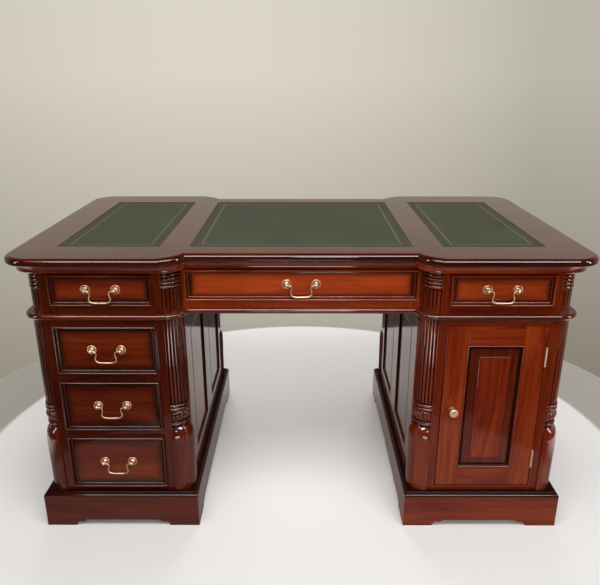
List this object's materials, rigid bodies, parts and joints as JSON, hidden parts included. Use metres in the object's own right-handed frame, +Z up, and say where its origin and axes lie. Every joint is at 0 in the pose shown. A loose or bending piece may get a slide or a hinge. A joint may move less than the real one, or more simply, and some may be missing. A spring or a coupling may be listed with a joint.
{
  "type": "partners desk",
  "caption": "Double-sided pedestal writing desk with a break-front leather top, reeded corner columns, drawers and panelled cupboards facing both ways.",
  "frame": {"origin": "on the floor, under the middle of the desk", "axes": "+X along the desk's length, +Y from the near sitter to the far sitter, +Z up"},
  "size_m": [1.48, 0.832, 0.79],
  "materials": {
    "mahogany": "French-polished reddish mahogany, darkened in the recesses",
    "interior_wood": "plain unpolished wood inside the carcass",
    "leather": "dark green hide with a gold tooled line",
    "brass": "pale polished brass"
  },
  "bodies": {
    "desk": {"top_board": "mahogany", "writing_leathers": "leather", "cornice_moulding": "mahogany", "frieze_carcass": "mahogany", "frieze_columns": "mahogany", "frieze_runners": "interior_wood", "waist_bead": "mahogany", "left_pedestal_carcass": "mahogany", "right_pedestal_carcass": "mahogany", "pedestal_columns": "mahogany", "pedestal_panels": "mahogany", "pedestal_runners": "interior_wood", "cupboard_shelves": "interior_wood", "shelf_battens": "interior_wood", "fixed_hinge_leaves": "brass", "plinth_cap_moulding": "mahogany", "right_plinth": "mahogany", "left_plinth": "mahogany"},
    "near_left_frieze_drawer": {"near_left_frieze_drawer": "mahogany", "near_left_frieze_drawer_pulls": "brass"},
    "near_left_frieze_drawer_bail": {"near_left_frieze_drawer_bail": "brass"},
    "far_left_frieze_drawer": {"far_left_frieze_drawer": "mahogany", "far_left_frieze_drawer_pulls": "brass"},
    "far_left_frieze_drawer_bail": {"far_left_frieze_drawer_bail": "brass"},
    "near_centre_frieze_drawer": {"near_centre_frieze_drawer": "mahogany", "near_centre_frieze_drawer_pulls": "brass"},
    "near_centre_frieze_drawer_bail": {"near_centre_frieze_drawer_bail": "brass"},
    "far_centre_frieze_drawer": {"far_centre_frieze_drawer": "mahogany", "far_centre_frieze_drawer_pulls": "brass"},
    "far_centre_frieze_drawer_bail": {"far_centre_frieze_drawer_bail": "brass"},
    "near_right_frieze_drawer": {"near_right_frieze_drawer": "mahogany", "near_right_frieze_drawer_pulls": "brass"},
    "near_right_frieze_drawer_bail": {"near_right_frieze_drawer_bail": "brass"},
    "far_right_frieze_drawer": {"far_right_frieze_drawer": "mahogany", "far_right_frieze_drawer_pulls": "brass"},
    "far_right_frieze_drawer_bail": {"far_right_frieze_drawer_bail": "brass"},
    "near_upper_drawer": {"near_upper_drawer": "mahogany", "near_upper_drawer_pulls": "brass"},
    "near_upper_drawer_bail": {"near_upper_drawer_bail": "brass"},
    "far_upper_drawer": {"far_upper_drawer": "mahogany", "far_upper_drawer_pulls": "brass"},
    "far_upper_drawer_bail": {"far_upper_drawer_bail": "brass"},
    "near_middle_drawer": {"near_middle_drawer": "mahogany", "near_middle_drawer_pulls": "brass"},
    "near_middle_drawer_bail": {"near_middle_drawer_bail": "brass"},
    "far_middle_drawer": {"far_middle_drawer": "mahogany", "far_middle_drawer_pulls": "brass"},
    "far_middle_drawer_bail": {"far_middle_drawer_bail": "brass"},
    "near_lower_drawer": {"near_lower_drawer": "mahogany", "near_lower_drawer_pulls": "brass"},
    "near_lower_drawer_bail": {"near_lower_drawer_bail": "brass"},
    "far_lower_drawer": {"far_lower_drawer": "mahogany", "far_lower_drawer_pulls": "brass"},
    "far_lower_drawer_bail": {"far_lower_drawer_bail": "brass"},
    "near_door": {"near_door": "mahogany", "near_door_knob": "brass", "near_door_hinge_leaves": "brass"},
    "far_door": {"far_door": "mahogany", "far_door_knob": "brass", "far_door_hinge_leaves": "brass"}
  },
  "joints": [
    {"name": "near_left_frieze_drawer_slide", "type": "slide", "parent": "desk", "child": "near_left_frieze_drawer", "axis": [0, -1, 0], "range_m": [0, 0.27]},
    {"name": "near_left_frieze_drawer_bail_hinge", "type": "hinge", "parent": "near_left_frieze_drawer", "child": "near_left_frieze_drawer_bail", "pos_m": [-0.5035, -0.388, 0.7005], "axis": [-1, 0, 0], "range_deg": [0, 85]},
    {"name": "far_left_frieze_drawer_slide", "type": "slide", "parent": "desk", "child": "far_left_frieze_drawer", "axis": [0, 1, 0], "range_m": [0, 0.27]},
    {"name": "far_left_frieze_drawer_bail_hinge", "type": "hinge", "parent": "far_left_frieze_drawer", "child": "far_left_frieze_drawer_bail", "pos_m": [0.5035, 0.388, 0.7005], "axis": [1, 0, 0], "range_deg": [0, 85]},
    {"name": "near_centre_frieze_drawer_slide", "type": "slide", "parent": "desk", "child": "near_centre_frieze_drawer", "axis": [0, -1, 0], "range_m": [0, 0.23]},
    {"name": "near_centre_frieze_drawer_bail_hinge", "type": "hinge", "parent": "near_centre_frieze_drawer", "child": "near_centre_frieze_drawer_bail", "pos_m": [0, -0.342, 0.7005], "axis": [-1, 0, 0], "range_deg": [0, 85]},
    {"name": "far_centre_frieze_drawer_slide", "type": "slide", "parent": "desk", "child": "far_centre_frieze_drawer", "axis": [0, 1, 0], "range_m": [0, 0.23]},
    {"name": "far_centre_frieze_drawer_bail_hinge", "type": "hinge", "parent": "far_centre_frieze_drawer", "child": "far_centre_frieze_drawer_bail", "pos_m": [0, 0.342, 0.7005], "axis": [1, 0, 0], "range_deg": [0, 85]},
    {"name": "near_right_frieze_drawer_slide", "type": "slide", "parent": "desk", "child": "near_right_frieze_drawer", "axis": [0, -1, 0], "range_m": [0, 0.27]},
    {"name": "near_right_frieze_drawer_bail_hinge", "type": "hinge", "parent": "near_right_frieze_drawer", "child": "near_right_frieze_drawer_bail", "pos_m": [0.5035, -0.388, 0.7005], "axis": [-1, 0, 0], "range_deg": [0, 85]},
    {"name": "far_right_frieze_drawer_slide", "type": "slide", "parent": "desk", "child": "far_right_frieze_drawer", "axis": [0, 1, 0], "range_m": [0, 0.27]},
    {"name": "far_right_frieze_drawer_bail_hinge", "type": "hinge", "parent": "far_right_frieze_drawer", "child": "far_right_frieze_drawer_bail", "pos_m": [-0.5035, 0.388, 0.7005], "axis": [1, 0, 0], "range_deg": [0, 85]},
    {"name": "near_upper_drawer_slide", "type": "slide", "parent": "desk", "child": "near_upper_drawer", "axis": [0, -1, 0], "range_m": [0, 0.28]},
    {"name": "near_upper_drawer_bail_hinge", "type": "hinge", "parent": "near_upper_drawer", "child": "near_upper_drawer_bail", "pos_m": [-0.5035, -0.391, 0.5375], "axis": [-1, 0, 0], "range_deg": [0, 85]},
    {"name": "far_upper_drawer_slide", "type": "slide", "parent": "desk", "child": "far_upper_drawer", "axis": [0, 1, 0], "range_m": [0, 0.28]},
    {"name": "far_upper_drawer_bail_hinge", "type": "hinge", "parent": "far_upper_drawer", "child": "far_upper_drawer_bail", "pos_m": [0.5035, 0.391, 0.5375], "axis": [1, 0, 0], "range_deg": [0, 85]},
    {"name": "near_middle_drawer_slide", "type": "slide", "parent": "desk", "child": "near_middle_drawer", "axis": [0, -1, 0], "range_m": [0, 0.28]},
    {"name": "near_middle_drawer_bail_hinge", "type": "hinge", "parent": "near_middle_drawer", "child": "near_middle_drawer_bail", "pos_m": [-0.5035, -0.391, 0.375], "axis": [-1, 0, 0], "range_deg": [0, 85]},
    {"name": "far_middle_drawer_slide", "type": "slide", "parent": "desk", "child": "far_middle_drawer", "axis": [0, 1, 0], "range_m": [0, 0.28]},
    {"name": "far_middle_drawer_bail_hinge", "type": "hinge", "parent": "far_middle_drawer", "child": "far_middle_drawer_bail", "pos_m": [0.5035, 0.391, 0.375], "axis": [1, 0, 0], "range_deg": [0, 85]},
    {"name": "near_lower_drawer_slide", "type": "slide", "parent": "desk", "child": "near_lower_drawer", "axis": [0, -1, 0], "range_m": [0, 0.28]},
    {"name": "near_lower_drawer_bail_hinge", "type": "hinge", "parent": "near_lower_drawer", "child": "near_lower_drawer_bail", "pos_m": [-0.5035, -0.391, 0.201], "axis": [-1, 0, 0], "range_deg": [0, 85]},
    {"name": "far_lower_drawer_slide", "type": "slide", "parent": "desk", "child": "far_lower_drawer", "axis": [0, 1, 0], "range_m": [0, 0.28]},
    {"name": "far_lower_drawer_bail_hinge", "type": "hinge", "parent": "far_lower_drawer", "child": "far_lower_drawer_bail", "pos_m": [0.5035, 0.391, 0.201], "axis": [1, 0, 0], "range_deg": [0, 85]},
    {"name": "near_door_hinge", "type": "hinge", "parent": "desk", "child": "near_door", "pos_m": [0.634, -0.3787, 0.3635], "axis": [0, 0, 1], "range_deg": [0, 110]},
    {"name": "far_door_hinge", "type": "hinge", "parent": "desk", "child": "far_door", "pos_m": [-0.634, 0.3787, 0.3635], "axis": [0, 0, 1], "range_deg": [0, 110]}
  ]
}
